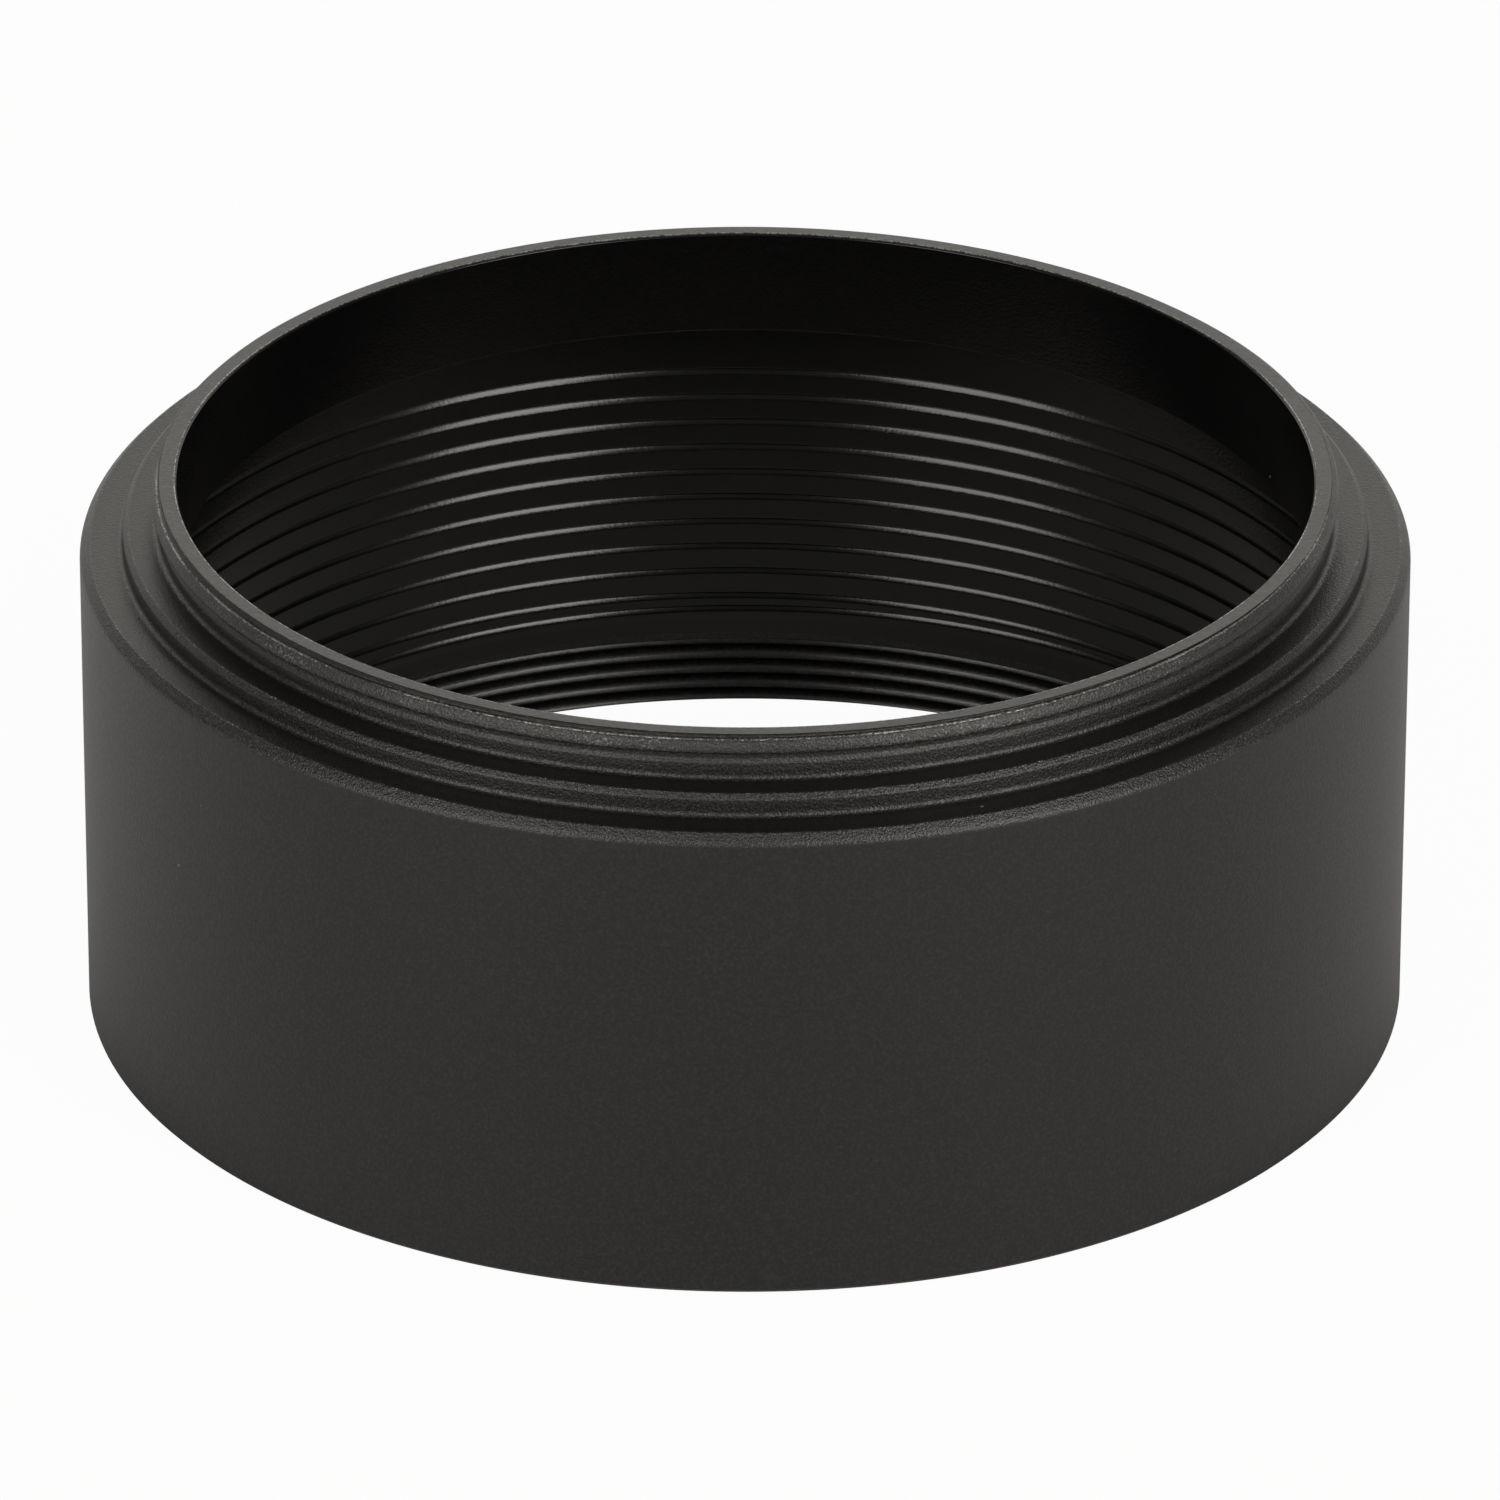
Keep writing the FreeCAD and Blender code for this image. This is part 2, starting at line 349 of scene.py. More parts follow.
def front_radius(angle, z, cut):
    """Radius of the front thread: its sharp root, less a ridge once a pitch along the helix.

    The ridge has steep flanks and a crest that leans back. Above the top crest the radius is held
    to the relief's. That limit climbs with the helix, and close to the front, where the groove runs
    out, it comes back to its middle height. A short lead-in opens the mouth.
    """
    pitch, root, deep = cut.front_pitch, cut.front_root, cut.front_root - cut.front_crest
    turn = turn_share(angle, -math.pi / 2) - 0.5
    off_front = np.clip((0.5 - np.abs(turn)) / 0.04, 0.0, 1.0)
    over = z - cut.front_start - pitch * turn * off_front
    offset = z - (cut.front_start + pitch * turn)
    offset = offset - pitch * np.round(offset / pitch)
    # The ridge by height from the nearest crest, with how far it stands in from the root
    ridge = [(-0.38, 0.0), (-0.09, deep), (0.03, deep * 0.884), (0.11, deep * 0.784), (0.24, deep * 0.50),
             (pitch - 0.38, 0.0), (pitch - 0.09, deep)]
    radius = root - eased_table(offset, ridge, 0.008)
    radius = np.minimum(radius, root - (root - cut.band_radius) * np.clip(over / 0.03, 0.0, 1.0))
    lead_in = cut.front_crest + 0.03 - z
    return lead_in + smooth_rise(radius - lead_in, 0.01)


class RingSurface:
    """Rows of the closed ring surface, gathered stretch by stretch up the outside and down the inside.

    Each row is a full loop of points. A plain stretch repeats its section in every column. A
    helical stretch lays its rows along the helix: rows that have not yet risen past the stretch's
    lower end, or have passed its upper end, fall together with its end row, and the last column
    joins the first one turn of rows further on, so the surface closes without a step.
    """

    def __init__(self):
        self.angle = np.arange(COLUMNS) * (2 * math.pi / COLUMNS)
        self.radius, self.height, self.edge, self.index, self.zone = [], [], [], [], []
        self.count = 0

    def number_rows(self, rows):
        """New point numbers for a block of rows, one for each column."""
        numbers = self.count + np.arange(rows * COLUMNS).reshape(rows, COLUMNS)
        self.count += rows * COLUMNS
        return numbers

    def add(self, radius, height, edge, index, zone):
        """Adds a block of rows, with the finish of the faces that follow each row."""
        self.radius.append(radius)
        self.height.append(height)
        self.edge.append(edge)
        self.index.append(index)
        self.zone += [zone] * len(index)

    def level(self, height, radius_at, zone):
        """Level rows at the given heights, whose radius also changes round the ring."""
        height = np.repeat(height[:, None], COLUMNS, axis=1)
        numbers = self.number_rows(len(height))
        radius = radius_at(np.broadcast_to(self.angle, height.shape), height)
        self.add(radius, height, np.zeros_like(height), np.hstack([numbers, numbers[:, :1]]), zone)

    def plain(self, rows, zone):
        """A stretch turned round the axis: one section repeated in every column."""
        ones = np.ones((1, COLUMNS))
        numbers = self.number_rows(len(rows))
        self.add(rows[:, :1] * ones, rows[:, 1:2] * ones, rows[:, 2:3] * ones,
                 np.hstack([numbers, numbers[:, :1]]), zone)

    def helical(self, low, high, pitch, start, offsets, radius_at, edge_at, zone, downward=False, sway=0.0):
        """A stretch from one height to another whose rows climb with the helix.

        Row heights are the helix's height plus one of the offsets plus whole pitches. The helix's
        height is the start height plus the pitch times the angle's share of a turn, plus the sway
        given for each column. The end rows are level.
        """
        first = math.floor((low - start) / pitch) - 2
        last = math.ceil((high - start) / pitch) + 1
        level = (np.arange(first, last)[:, None] * pitch + np.sort(offsets)[None, :]).ravel() + start
        climb = pitch * self.angle / (2 * math.pi) + sway
        height = level[:, None] + climb[None, :]
        height = np.vstack([np.full((1, COLUMNS), low), height, np.full((1, COLUMNS), high)])
        numbers = self.number_rows(len(height))
        numbers = np.where(height <= low + MERGE, numbers[:1], numbers)
        numbers = np.where(height >= high - MERGE, numbers[-1:], numbers)
        height = np.clip(height, low, high)
        shifted = np.minimum(np.arange(1, len(height) - 1) + len(offsets), len(height) - 1)
        seam = np.concatenate([numbers[:1, 0], numbers[shifted, 0], numbers[-1:, 0]])
        index = np.hstack([numbers, seam[:, None]])
        angle = np.broadcast_to(self.angle, height.shape)
        order = slice(None, None, -1) if downward else slice(None)
        self.add(radius_at(angle, height), height, edge_at(angle, height), index[order], zone)

    def mesh(self, name):
        """The finished mesh: points at radius and angle, two triangles to each cell of the grid,
        without those whose corners have fallen together. Each point's normal is the sum of its
        faces' normals by area, so that flats stay flat up to their edges."""
        radius, height = np.vstack(self.radius) * MM, np.vstack(self.height) * MM
        angle = np.broadcast_to(self.angle, radius.shape)
        points = np.stack([radius * np.cos(angle), radius * np.sin(angle), height], axis=-1)
        grid = np.vstack(self.index + [self.index[0][:1]])
        a, b, c, d = grid[:-1, :-1], grid[:-1, 1:], grid[1:, 1:], grid[1:, :-1]
        faces = np.concatenate([np.stack(half, -1).reshape(-1, 3) for half in ((a, b, c), (a, c, d))])
        zone = np.tile(np.repeat(np.array(self.zone), COLUMNS), 2)
        whole = np.all(faces != np.roll(faces, 1, axis=1), axis=1)
        faces, zone = faces[whole], zone[whole]
        used, faces = np.unique(faces, return_inverse=True)
        faces = faces.reshape(-1, 3)
        points, edge = points.reshape(-1, 3)[used], np.vstack(self.edge).reshape(-1)[used]
        mesh = bpy.data.meshes.new(name)
        mesh.from_pydata(points, [], faces)
        mesh.polygons.foreach_set("material_index", zone.astype(np.int32))
        mesh.polygons.foreach_set("use_smooth", np.ones(len(faces), bool))
        worn = mesh.attributes.new("worn_edge", "FLOAT", "POINT")
        worn.data.foreach_set("value", edge.astype(np.float32))
        mesh.update()
        corner = points[faces]
        normal = np.cross(corner[:, 1] - corner[:, 0], corner[:, 2] - corner[:, 0])
        total = np.zeros_like(points)
        for k in range(3):
            np.add.at(total, faces[:, k], normal)
        total /= np.linalg.norm(total, axis=1)[:, None]
        mesh.normals_split_custom_set_from_vertices(total)
        return mesh


def add_outside(surface, blank, cut):
    """From the mouth along the foot, up the side and over both steps to the neck: two rounded
    sections, with the zones changing on the body's chamfer and at the ends of the flats."""
    body, shoulder, land = blank.body_radius, blank.shoulder_radius, blank.land_radius
    body_top, shoulder_top = blank.body_top, blank.shoulder_top
    chamfer, step, foot = blank.body_chamfer, blank.shoulder_chamfer, blank.foot_chamfer
    edge, fillet = blank.edge, blank.fillet
    side = rounded_section([
        (cut.front_root + 0.05, 0, 0, 0),
        (body - foot, 0, edge, 0.5),
        (body, foot, edge, 0.3),
        (body, body_top - chamfer, blank.body_round, 0.1),
        (body - chamfer, body_top, edge * 1.6, 0.5),
        (body - chamfer - 0.1, body_top, 0, 0),
    ])
    split = 2 * CORNER_ROWS + 3
    surface.plain(side[:split], SIDE)
    surface.plain(side[split:-1], FACE)
    steps = rounded_section([
        (body - chamfer - 0.1, body_top, 0, 0),
        (shoulder, body_top, fillet, 0),
        (shoulder, shoulder_top - step, blank.shoulder_round, 0.1),
        (shoulder - step, shoulder_top, edge * 1.4, 0.5),
        (land, shoulder_top, fillet, 0),
        (land, NECK_TOP - 0.02, 0, 0),
    ])
    upper_flat = 3 * CORNER_ROWS
    surface.plain(steps[:2], FLAT)
    surface.plain(steps[2:upper_flat], FACE)
    surface.plain(steps[upper_flat:upper_flat + 2], FLAT)
    surface.plain(steps[upper_flat + 2:], FACE)


def add_collar(surface, blank, cut):
    """The collar thread, in rows that climb with it and stand close at its sharp corners."""
    steps = np.array([0.0, 0.035, 0.10, 0.17, 0.21, 0.27, 0.32, 0.42, 0.52, 0.585, 0.61, 0.64, 0.70, 0.748,
                      0.762, 0.785, 0.81, 0.90]) * cut.collar_pitch
    start = cut.collar_start + cut.collar_pitch / 4  # a quarter of a turn on from the front

    def radius_at(angle, z):
        return collar_radius(front_azimuth(angle), z, blank, cut)

    def edge_at(angle, z):
        return collar_edge(front_azimuth(angle), z, cut)

    surface.helical(NECK_TOP, blank.height - RIM_DROP, cut.collar_pitch, start, steps, radius_at, edge_at,
                    COLLAR, sway=-collar_sway(front_azimuth(surface.angle)))


def add_rim_and_bore(surface, blank):
    """Over the rim's face, down the bore and out along the ceiling to the inner wall: one rounded
    section, with the rim's zone as far as the bore."""
    height, rim, bore, wall = blank.height, blank.rim_radius, blank.bore_radius, blank.wall_radius
    top = rounded_section([
        (rim + 0.012, height - RIM_DROP, 0, 0.3),
        (rim - 0.006, height, 0.01, 0.3),
        (bore + 0.1, height, 0.04, 0.8),
        (bore, height - 0.1, 0.04, 0.4),
        (bore, blank.bore_bottom, 0.04, 0.4),
        (bore + 0.1, blank.ceiling, 0.04, 0),
        (wall, blank.ceiling, 0.4, 0),
        (wall, TRAP_TOP + 0.05, 0, 0),
    ])
    split = 2 * CORNER_ROWS + 1
    surface.plain(top[:split], RIM)
    surface.plain(top[split:], INNER)


def add_light_trap(surface, blank, cut):
    """The wall with the light-trap groove, in rows that climb with it, then the ring groove and the
    plain relief below, in level rows."""
    ring, shoulder, lip = cut.ring_root, cut.trap_shoulder, cut.trap_lip
    slope = np.array([-0.96, -0.8, -0.63, -0.46, -0.3, -0.1]) * shoulder
    steps = np.concatenate([[-shoulder - 0.05, -shoulder - 0.007], slope,
                            [-0.007, 0.007, lip - 0.006, lip + 0.008, lip + 0.05]])
    start = ring - cut.trap_pitch * cut.trap_angle / (2 * math.pi)

    def radius_at(angle, z):
        return wall_radius(angle, z, blank, cut)

    surface.helical(ring + lip + 0.03, TRAP_TOP, cut.trap_pitch, start, steps, radius_at, no_edge, INNER,
                    downward=True)
    surface.level(ring + steps[-2::-1], radius_at, INNER)
    step = ring - np.array([0.38, 0.48, 0.6, 0.7, 0.8])  # rows on the slow step out to the relief
    below = np.concatenate([step, [3.8, 3.5]])  # and two on the relief itself
    surface.plain(np.stack([band_radius(below, blank, cut), below, np.zeros_like(below)], axis=1), INNER)


def add_front_thread(surface, cut):
    """The front thread down to the mouth, in rows that climb with it."""
    steps = np.array([-0.375, -0.1, -0.088, -0.05, 0.0, 0.03, 0.075, 0.11, 0.17, 0.24, 0.36])
    start = cut.front_start - cut.front_pitch / 4  # a quarter of a turn before the back

    def radius_at(angle, z):
        return front_radius(angle, z, cut)

    surface.helical(0.0, cut.front_top, cut.front_pitch, start, steps, radius_at, no_edge, FRONT,
                    downward=True)


def ring_surface(blank, cut):
    """The whole ring, in order up the outside, over the rim, down the bore and down the inner wall."""
    blank, cut = in_mm(blank), in_mm(cut)
    surface = RingSurface()
    add_outside(surface, blank, cut)
    add_collar(surface, blank, cut)
    add_rim_and_bore(surface, blank)
    add_light_trap(surface, blank, cut)
    add_front_thread(surface, cut)
    return surface.mesh("hood ring")


# Finish

GRAINS = 6500.0  # grains of the blasting in a metre, on most finishes
SOFT_SHARE = 0.35  # share of the softer grain under it


def node(tree, kind, inputs=None, **settings):
    """One shader node with its settings, and its inputs set to values or joined to sockets."""
    made = tree.nodes.new(kind)
    for name, value in settings.items():
        setattr(made, name, value)
    for name, value in (inputs or {}).items():
        socket = made.inputs[name]
        if isinstance(value, bpy.types.NodeSocket):
            tree.links.new(value, socket)
        else:
            socket.default_value = value
    return made


def group(name, inputs, outputs):
    """An empty shader node group with named number inputs and outputs."""
    tree = bpy.data.node_groups.new(name, "ShaderNodeTree")
    for label, value in inputs.items():
        socket = tree.interface.new_socket(label, in_out="INPUT", socket_type="NodeSocketFloat")
        socket.default_value = value
    for label in outputs:
        tree.interface.new_socket(label, in_out="OUTPUT", socket_type="NodeSocketFloat")
    return tree, tree.nodes.new("NodeGroupInput").outputs, tree.nodes.new("NodeGroupOutput").inputs


def math_node(tree, operation, first, second=0.0, third=0.0, clamp=False):
    """The result of one Math node."""
    return node(tree, "ShaderNodeMath", {0: first, 1: second, 2: third}, operation=operation,
                use_clamp=clamp).outputs[0]


def straight_step(tree, value, low, high, at_low, at_high, interpolation="LINEAR"):
    """A value that changes from one level to another between two limits, and stays level outside."""
    inputs = {"Value": value, 1: low, 2: high, 3: at_low, 4: at_high}
    return node(tree, "ShaderNodeMapRange", inputs, interpolation_type=interpolation).outputs[0]


def soft_step(tree, value, low, high, at_low, at_high):
    """The same, with a smooth start and end."""
    return straight_step(tree, value, low, high, at_low, at_high, "SMOOTHSTEP")


def place(tree):
    """Object coordinates of the surface."""
    return tree.nodes.new("ShaderNodeTexCoord").outputs["Object"]


def distance(tree, vector):
    """The length of a vector."""
    return node(tree, "ShaderNodeVectorMath", {0: vector}, operation="LENGTH").outputs["Value"]


def noise(tree, where, scale, detail, roughness=0.5):
    """A noise of its own scale, between nothing and one."""
    inputs = {"Vector": where, "Scale": scale, "Detail": detail, "Roughness": roughness}
    return node(tree, "ShaderNodeTexNoise", inputs).outputs[0]


def mix(tree, factor, first, second, blend_type="MIX"):
    """The colour between two colours, each a value or a socket."""
    inputs = {"Factor": factor, "A": first, "B": second}
    return node(tree, "ShaderNodeMix", inputs, data_type="RGBA", blend_type=blend_type).outputs["Result"]


def empty_tree(owner):
    """The node tree of a new material or world, with nothing in it."""
    owner.use_nodes = True
    owner.node_tree.nodes.clear()
    return owner.node_tree


def blast_group():
    """Fine pitted grain of blasting: a sharp noise with a share of a softer one, about eight times as
    coarse, under it."""
    inputs = {"Grains per metre": GRAINS, "Soft share": SOFT_SHARE}
    tree, given, out = group("Blast grain", inputs, ["Height", "Tone"])
    fine = noise(tree, place(tree), given[0], 2.0, 0.6)
    soft = noise(tree, place(tree), math_node(tree, "MULTIPLY", given[0], 0.13), 2.0)
    tree.links.new(math_node(tree, "MULTIPLY_ADD", soft, given[1], fine), out["Height"])
    tree.links.new(fine, out["Tone"])
    return tree


def turning_group():
    """Marks of turning: a noise that only changes with radius and height, so it runs in rings."""
    tree, given, out = group("Turning marks", {"Marks per metre": 9000.0}, ["Height"])
    axes = node(tree, "ShaderNodeSeparateXYZ", {0: place(tree)}).outputs
    flat = node(tree, "ShaderNodeCombineXYZ", {0: axes[0], 1: axes[1]}).outputs[0]
    section = node(tree, "ShaderNodeCombineXYZ", {0: distance(tree, flat), 1: axes[2]}).outputs[0]
    tree.links.new(noise(tree, section, given[0], 3.0, 0.65), out["Height"])
    return tree


def wear_group():
    """Bright burr specks: the surface's own edge value, broken up along the edge by two noises.

    A speck shows where the sum of both noises, half the edge value and the amount passes a level.
    So specks grow together where the edge value is high, and stay sparse where it is low.
    """
    tree, given, out = group("Edge wear", {"Amount": 0.5}, ["Mask"])
    edge = node(tree, "ShaderNodeAttribute", attribute_name="worn_edge").outputs["Fac"]
    small = math_node(tree, "MULTIPLY", noise(tree, place(tree), 8500.0, 3.0, 0.7), 1.7)
    large = math_node(tree, "MULTIPLY", noise(tree, place(tree), 260.0, 1.0), 0.7)
    total = math_node(tree, "MULTIPLY_ADD", edge, 0.5, math_node(tree, "ADD", small, large))
    total = math_node(tree, "ADD", total, given[0])
    speck = math_node(tree, "MULTIPLY", math_node(tree, "SUBTRACT", total, 1.95), 8.0, clamp=True)
    shine = math_node(tree, "MULTIPLY", edge, 1.5, clamp=True)
    tree.links.new(math_node(tree, "MULTIPLY", speck, shine, clamp=True), out["Mask"])
    return tree


def dust_group():
    """Sparse dust: the middle of a few cells of a cell pattern, picked by each cell's own colour."""
    tree, given, out = group("Dust", {"Specks per metre": 900.0, "Amount": 0.3}, ["Mask"])
    cell = node(tree, "ShaderNodeTexVoronoi", {"Vector": place(tree), "Scale": given[0]})
    near = math_node(tree, "SUBTRACT", 0.075, cell.outputs["Distance"])
    dot = math_node(tree, "MULTIPLY", near, 30.0, clamp=True)
    pick = node(tree, "ShaderNodeSeparateColor", {0: cell.outputs["Color"]}).outputs[0]
    keep = math_node(tree, "GREATER_THAN", math_node(tree, "MULTIPLY", given[1], 0.25), pick)
    tree.links.new(math_node(tree, "MULTIPLY", dot, keep), out["Mask"])
    return tree


def anodised(name, groups, finish, rough, speckle, grain_depth, marks_depth, wear, dust, ior=1.5,
             grains=GRAINS, soft=SOFT_SHARE):
    """One finish of the black anodising, from the shared groups and its own values.

    The speckle is how many times brighter than the black the tops of the grain are. The two depths
    are in metres, and wear and dust are the amounts given to their groups.
    """
    material = bpy.data.materials.new(name)
    tree = empty_tree(material)
    blast = node(tree, "ShaderNodeGroup", {"Grains per metre": grains, "Soft share": soft},
                 node_tree=groups["blast"]).outputs
    marks = node(tree, "ShaderNodeGroup", node_tree=groups["turning"]).outputs["Height"]
    worn = node(tree, "ShaderNodeGroup", {"Amount": wear}, node_tree=groups["wear"]).outputs["Mask"]
    dusty = node(tree, "ShaderNodeGroup", {"Amount": dust}, node_tree=groups["dust"]).outputs["Mask"]

    tone = straight_step(tree, blast["Tone"], 0.45, 0.7, 0.6, speckle)
    colour = mix(tree, 1.0, (*finish.black, 1.0), tone, "MULTIPLY")
    colour = mix(tree, dusty, colour, (*finish.dust, 1.0))
    colour = mix(tree, worn, colour, (*finish.bare, 1.0))
    roughness = straight_step(tree, blast["Tone"], 0.3, 0.7, rough * 1.06, rough * 0.94)
    bump = node(tree, "ShaderNodeBump", {"Strength": 1.0, "Distance": grain_depth, "Height": blast["Height"]})
    lines = node(tree, "ShaderNodeBump", {"Strength": 1.0, "Distance": marks_depth, "Height": marks,
                                          "Normal": bump.outputs[0]})
    shader = node(tree, "ShaderNodeBsdfPrincipled", {
        "Base Color": colour, "Roughness": roughness, "Metallic": worn, "IOR": ior,
        "Normal": lines.outputs[0]})
    node(tree, "ShaderNodeOutputMaterial", {"Surface": shader.outputs[0]})
    return material


def hood_materials(finish):
    """The seven finishes, in the order of the surface's zones."""
    groups = {"blast": blast_group(), "turning": turning_group(), "wear": wear_group(), "dust": dust_group()}
    make = partial(anodised, groups=groups, finish=finish)
    crisp = {"grains": 9000.0, "soft": 0.08}  # a finer grain with little of the softer one under it
    return [
        make("Anodised blasted side", rough=finish.side_rough, speckle=4.0, grain_depth=1.6e-5,
             marks_depth=1e-6, wear=0.15, dust=0.2, ior=1.56),
        make("Anodised chamfer", rough=finish.face_rough, speckle=8.0, grain_depth=4.8e-5,
             marks_depth=2e-6, wear=0.3, dust=0.2, ior=1.59, **crisp),
        make("Anodised turned flat", rough=finish.flat_rough, speckle=2.5, grain_depth=2.2e-5,
             marks_depth=3e-6, wear=0.3, dust=0.2, **crisp),
        make("Anodised inner wall", rough=finish.inner_rough, speckle=1.3, grain_depth=6.5e-6,
             marks_depth=1e-6, wear=0.2, dust=0.1),
        make("Anodised collar", rough=finish.thread_rough, speckle=8.0, grain_depth=5.4e-5,
             marks_depth=3e-6, wear=finish.wear, dust=0.2, ior=1.63, **crisp),
        make("Anodised rim", rough=finish.rim_rough, speckle=6.0, grain_depth=1.2e-5,
             marks_depth=2e-6, wear=finish.wear, dust=0.2),
        make("Anodised front thread", rough=finish.front_rough, speckle=6.0, grain_depth=1e-5,
             marks_depth=1e-6, wear=0.3, dust=0.1),
    ]


# Operators

ALMOST_WHITE = 0.96  # how bright the camera sees the paper floor
LAMPS = (("lamp left", -1.0, 0.9), ("lamp right", 1.0, 1.2))  # name, side, share of the lamp power
CAMERA_AIM = Vector((0.0, 0.0, 0.01168))  # the camera's line of sight meets the axis here
CAMERA_ROLL = math.radians(0.1006)  # the photograph's slight lean
CAMERA_SHIFT = (0.00343, -0.0050)  # and its framing


class OBJECT_OT_hood_ring(bpy.types.Operator):
    """Make the turned ring with both threads and the light trap"""

    bl_idname = "object.make_hood_ring"
    bl_label = "Make hood ring"

    def execute(self, context):
        scene = context.scene
        mesh = ring_surface(scene.hood_blank, scene.hood_threads)
        for material in hood_materials(scene.hood_finish):
            mesh.materials.append(material)
        piece = bpy.data.objects.new("hood_ring_dressed", mesh)
        context.collection.objects.link(piece)
        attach(piece, "root")
        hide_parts(NODE)
        return {"FINISHED"}


class OBJECT_OT_hood_stage(bpy.types.Operator):
    """Make the floor, the light and the camera"""

    bl_idname = "object.make_hood_stage"
    bl_label = "Make hood stage"

    def execute(self, context):
        scene, stage = context.scene, context.scene.hood_stage
        self.make_floor(context, stage)
        self.make_world(scene, stage)
        self.make_lamps(context, stage)
        self.make_camera(context, stage)
        scene.view_settings.view_transform = "Standard"
        return {"FINISHED"}

    def make_floor(self, context, stage):
        """A flat square of paper: corners at equal distances from the middle, a hair below the foot. Seen
        by the camera it is almost white. Seen in a reflection it has a painted glow that grows far off and
        behind the ring. From below it is clear, so that the underside can be looked at."""
        reach, low = 4.0, -2e-5
        corners = [(reach * x, reach * y, low) for x, y in ((-1, -1), (1, -1), (1, 1), (-1, 1))]
        mesh = bpy.data.meshes.new("floor")
        mesh.from_pydata(corners, [], [(0, 1, 2, 3)])
        material = bpy.data.materials.new("White paper")
        tree = empty_tree(material)
        path = tree.nodes.new("ShaderNodeLightPath").outputs
        away = distance(tree, place(tree))
        # Painted glow on the paper, seen only in reflections: it grows far off, and behind the ring
        painted_glow = soft_step(tree, away, 0.08, 0.25, 0.0, 0.3)
        outside = soft_step(tree, away, 0.027, 0.033, 0.0, 1.0)
        across = node(tree, "ShaderNodeSeparateXYZ", {0: place(tree)}).outputs[1]
        behind = soft_step(tree, across, -0.035, 0.02, 0.0, 0.4)
        painted_glow = math_node(tree, "MAXIMUM", painted_glow, math_node(tree, "MULTIPLY", outside, behind))
        shiny = math_node(tree, "MAXIMUM", path["Is Glossy Ray"], path["Is Transmission Ray"])
        seen = math_node(tree, "MAXIMUM", math_node(tree, "MULTIPLY", path["Is Camera Ray"], ALMOST_WHITE),
                         math_node(tree, "MULTIPLY", shiny, painted_glow))
        paper = node(tree, "ShaderNodeBsdfDiffuse", {"Color": (*stage.floor, 1.0)})
        white = node(tree, "ShaderNodeEmission", {"Color": (1, 1, 1, 1), "Strength": 1.0})
        mixed = node(tree, "ShaderNodeMixShader", {0: seen, 1: paper.outputs[0], 2: white.outputs[0]})
        under = tree.nodes.new("ShaderNodeNewGeometry").outputs["Backfacing"]
        clear = tree.nodes.new("ShaderNodeBsdfTransparent").outputs[0]
        sheet = node(tree, "ShaderNodeMixShader", {0: under, 1: mixed.outputs[0], 2: clear})
        node(tree, "ShaderNodeOutputMaterial", {"Surface": sheet.outputs[0]})
        mesh.materials.append(material)
        floor = bpy.data.objects.new("floor", mesh)
        context.collection.objects.link(floor)

    def make_world(self, scene, stage):
        """White paper behind the ring and dim air above and at the sides, as in a small light tent.

        Brightness depends on how far back a direction points and how high. The paper's share rises
        smoothly from the sides to the back, is less near the floor and ends above the paper. A dim
        level comes from everywhere, and a little more from straight above. The camera sees white.
        """
        world = bpy.data.worlds.new("Soft surroundings")
        scene.world = world
        tree = empty_tree(world)
        direction = tree.nodes.new("ShaderNodeTexCoord").outputs["Generated"]
        axes = node(tree, "ShaderNodeSeparateXYZ", {0: direction}).outputs
        flat = node(tree, "ShaderNodeVectorMath", {0: direction, 1: (1, 1, 0)}, operation="MULTIPLY")
        flat = node(tree, "ShaderNodeVectorMath", {0: flat.outputs[0]}, operation="NORMALIZE")
        behind = node(tree, "ShaderNodeSeparateXYZ", {0: flat.outputs[0]}).outputs[1]
        paper = soft_step(tree, behind, 0.45, 1.0, stage.side_light, stage.back_light)
        rising = soft_step(tree, axes[2], 0.0, 0.4, 0.5, 1.0)
        falling = soft_step(tree, axes[2], 0.42, 0.66, 1.0, 0.0)
        level = math_node(tree, "MULTIPLY", math_node(tree, "MULTIPLY", paper, rising), falling)
        level = math_node(tree, "ADD", level, stage.high_light)
        level = math_node(tree, "ADD", level, soft_step(tree, axes[2], 0.78, 0.95, 0.0, stage.top_light))
        seen = tree.nodes.new("ShaderNodeLightPath").outputs["Is Camera Ray"]
        strength = math_node(tree, "MAXIMUM", level, seen)
        tint = mix(tree, seen, (*stage.warm, 1.0), (1, 1, 1, 1))
        back = node(tree, "ShaderNodeBackground", {"Color": tint, "Strength": strength})
        node(tree, "ShaderNodeOutputWorld", {"Surface": back.outputs[0]})

    def make_lamps(self, context, stage):
        """Two large soft lamps, left and right of the camera, each a metre from the ring and facing it."""
        for name, side, strength in LAMPS:
            data = bpy.data.lights.new(name, "AREA")
            data.shape = "RECTANGLE"
            data.size, data.size_y = stage.lamp_width, stage.lamp_height
            data.energy = stage.lamp_power * strength
            data.color = stage.warm
            lamp = bpy.data.objects.new(name, data)
            turn, rise = side * stage.lamp_turn, stage.lamp_rise
            way = Vector((math.sin(turn) * math.cos(rise), -math.cos(turn) * math.cos(rise), math.sin(rise)))
            lamp.location = way
            lamp.rotation_euler = way.to_track_quat("Z", "Y").to_euler()
            context.collection.objects.link(lamp)

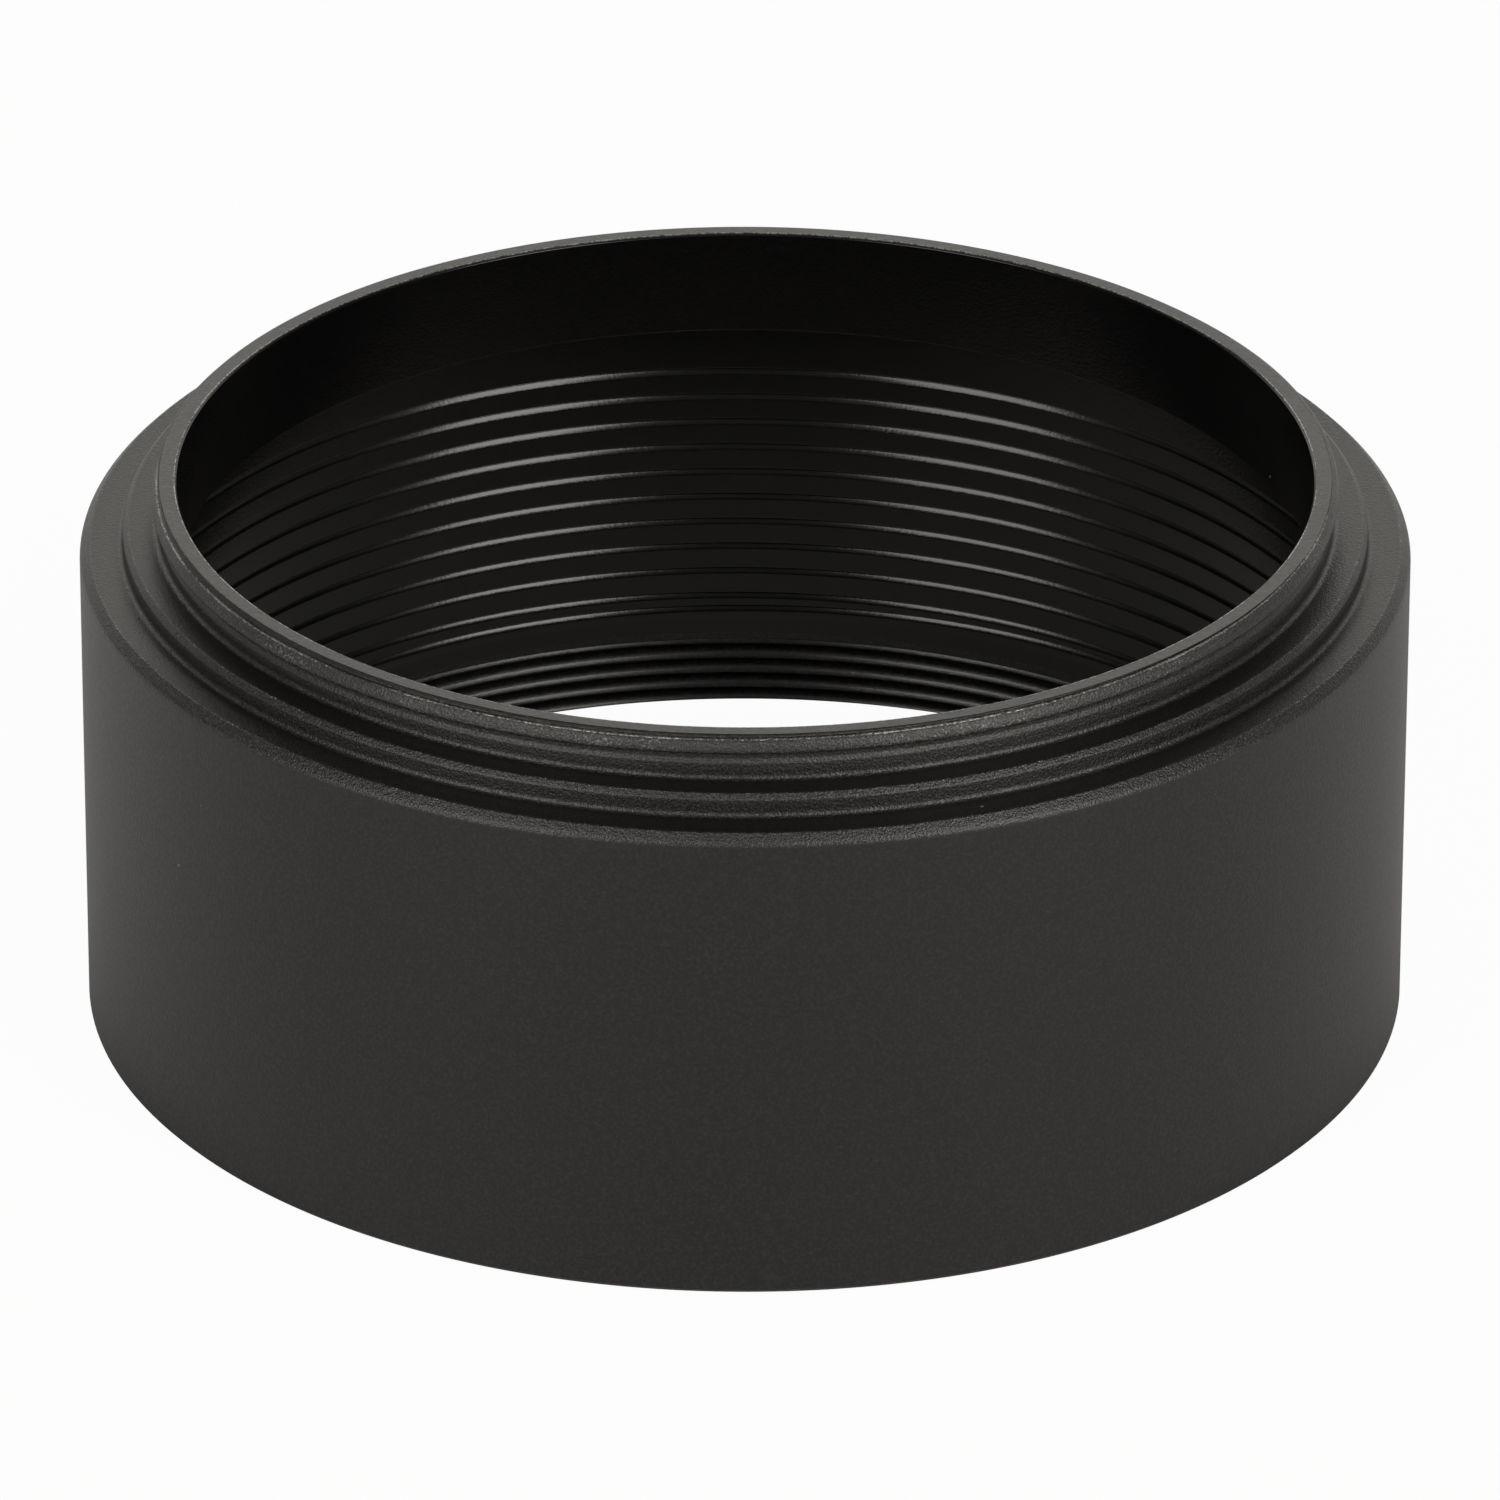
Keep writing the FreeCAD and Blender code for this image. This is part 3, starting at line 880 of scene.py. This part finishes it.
    def make_camera(self, context, stage):
        """The camera on a line from the middle of the ring, at its own angle above the floor."""
        data = bpy.data.cameras.new("camera")
        data.sensor_width = 36.0
        data.lens = stage.lens
        data.shift_x, data.shift_y = CAMERA_SHIFT
        data.clip_start, data.clip_end = 0.01, 50.0
        camera = bpy.data.objects.new("camera", data)
        rise = stage.camera_rise
        back = Vector((0.0, -math.cos(rise), math.sin(rise))) * stage.camera_distance
        turn = Matrix.Rotation(math.pi / 2 - rise, 4, "X") @ Matrix.Rotation(CAMERA_ROLL, 4, "Z")
        camera.matrix_world = Matrix.Translation(CAMERA_AIM + back) @ turn
        context.collection.objects.link(camera)
        context.scene.camera = camera


class VIEW3D_PT_lens_hood(bpy.types.Panel):
    """Lens hood tools in the sidebar"""

    bl_label = "Lens hood"
    bl_idname = "VIEW3D_PT_lens_hood"
    bl_space_type = "VIEW_3D"
    bl_region_type = "UI"
    bl_category = "Lens hood"

    def draw(self, context):
        for operator in (OBJECT_OT_hood_ring, OBJECT_OT_hood_stage):
            self.layout.operator(operator.bl_idname)
        for name in SETTINGS:
            box = self.layout.box()
            settings = getattr(context.scene, name)
            for item in own_properties(settings):
                box.prop(settings, item.identifier)


SETTINGS = {"hood_blank": HoodBlank, "hood_threads": HoodThreads, "hood_finish": HoodFinish,
            "hood_stage": HoodStage}
CLASSES = (*SETTINGS.values(), OBJECT_OT_hood_ring, OBJECT_OT_hood_stage, VIEW3D_PT_lens_hood)


def register():
    """Adds the classes to Blender, and each group of settings to its scenes."""
    for item in CLASSES:
        bpy.utils.register_class(item)
    for name, kind in SETTINGS.items():
        setattr(bpy.types.Scene, name, bpy.props.PointerProperty(type=kind))


def unregister():
    """Takes the settings and the classes away again."""
    for name in SETTINGS:
        delattr(bpy.types.Scene, name)
    for item in reversed(CLASSES):
        bpy.utils.unregister_class(item)


def main():
    """Makes the ring and its stage."""
    register()
    bpy.ops.object.make_hood_ring()
    bpy.ops.object.make_hood_stage()


if __name__ == "__main__":
    main()
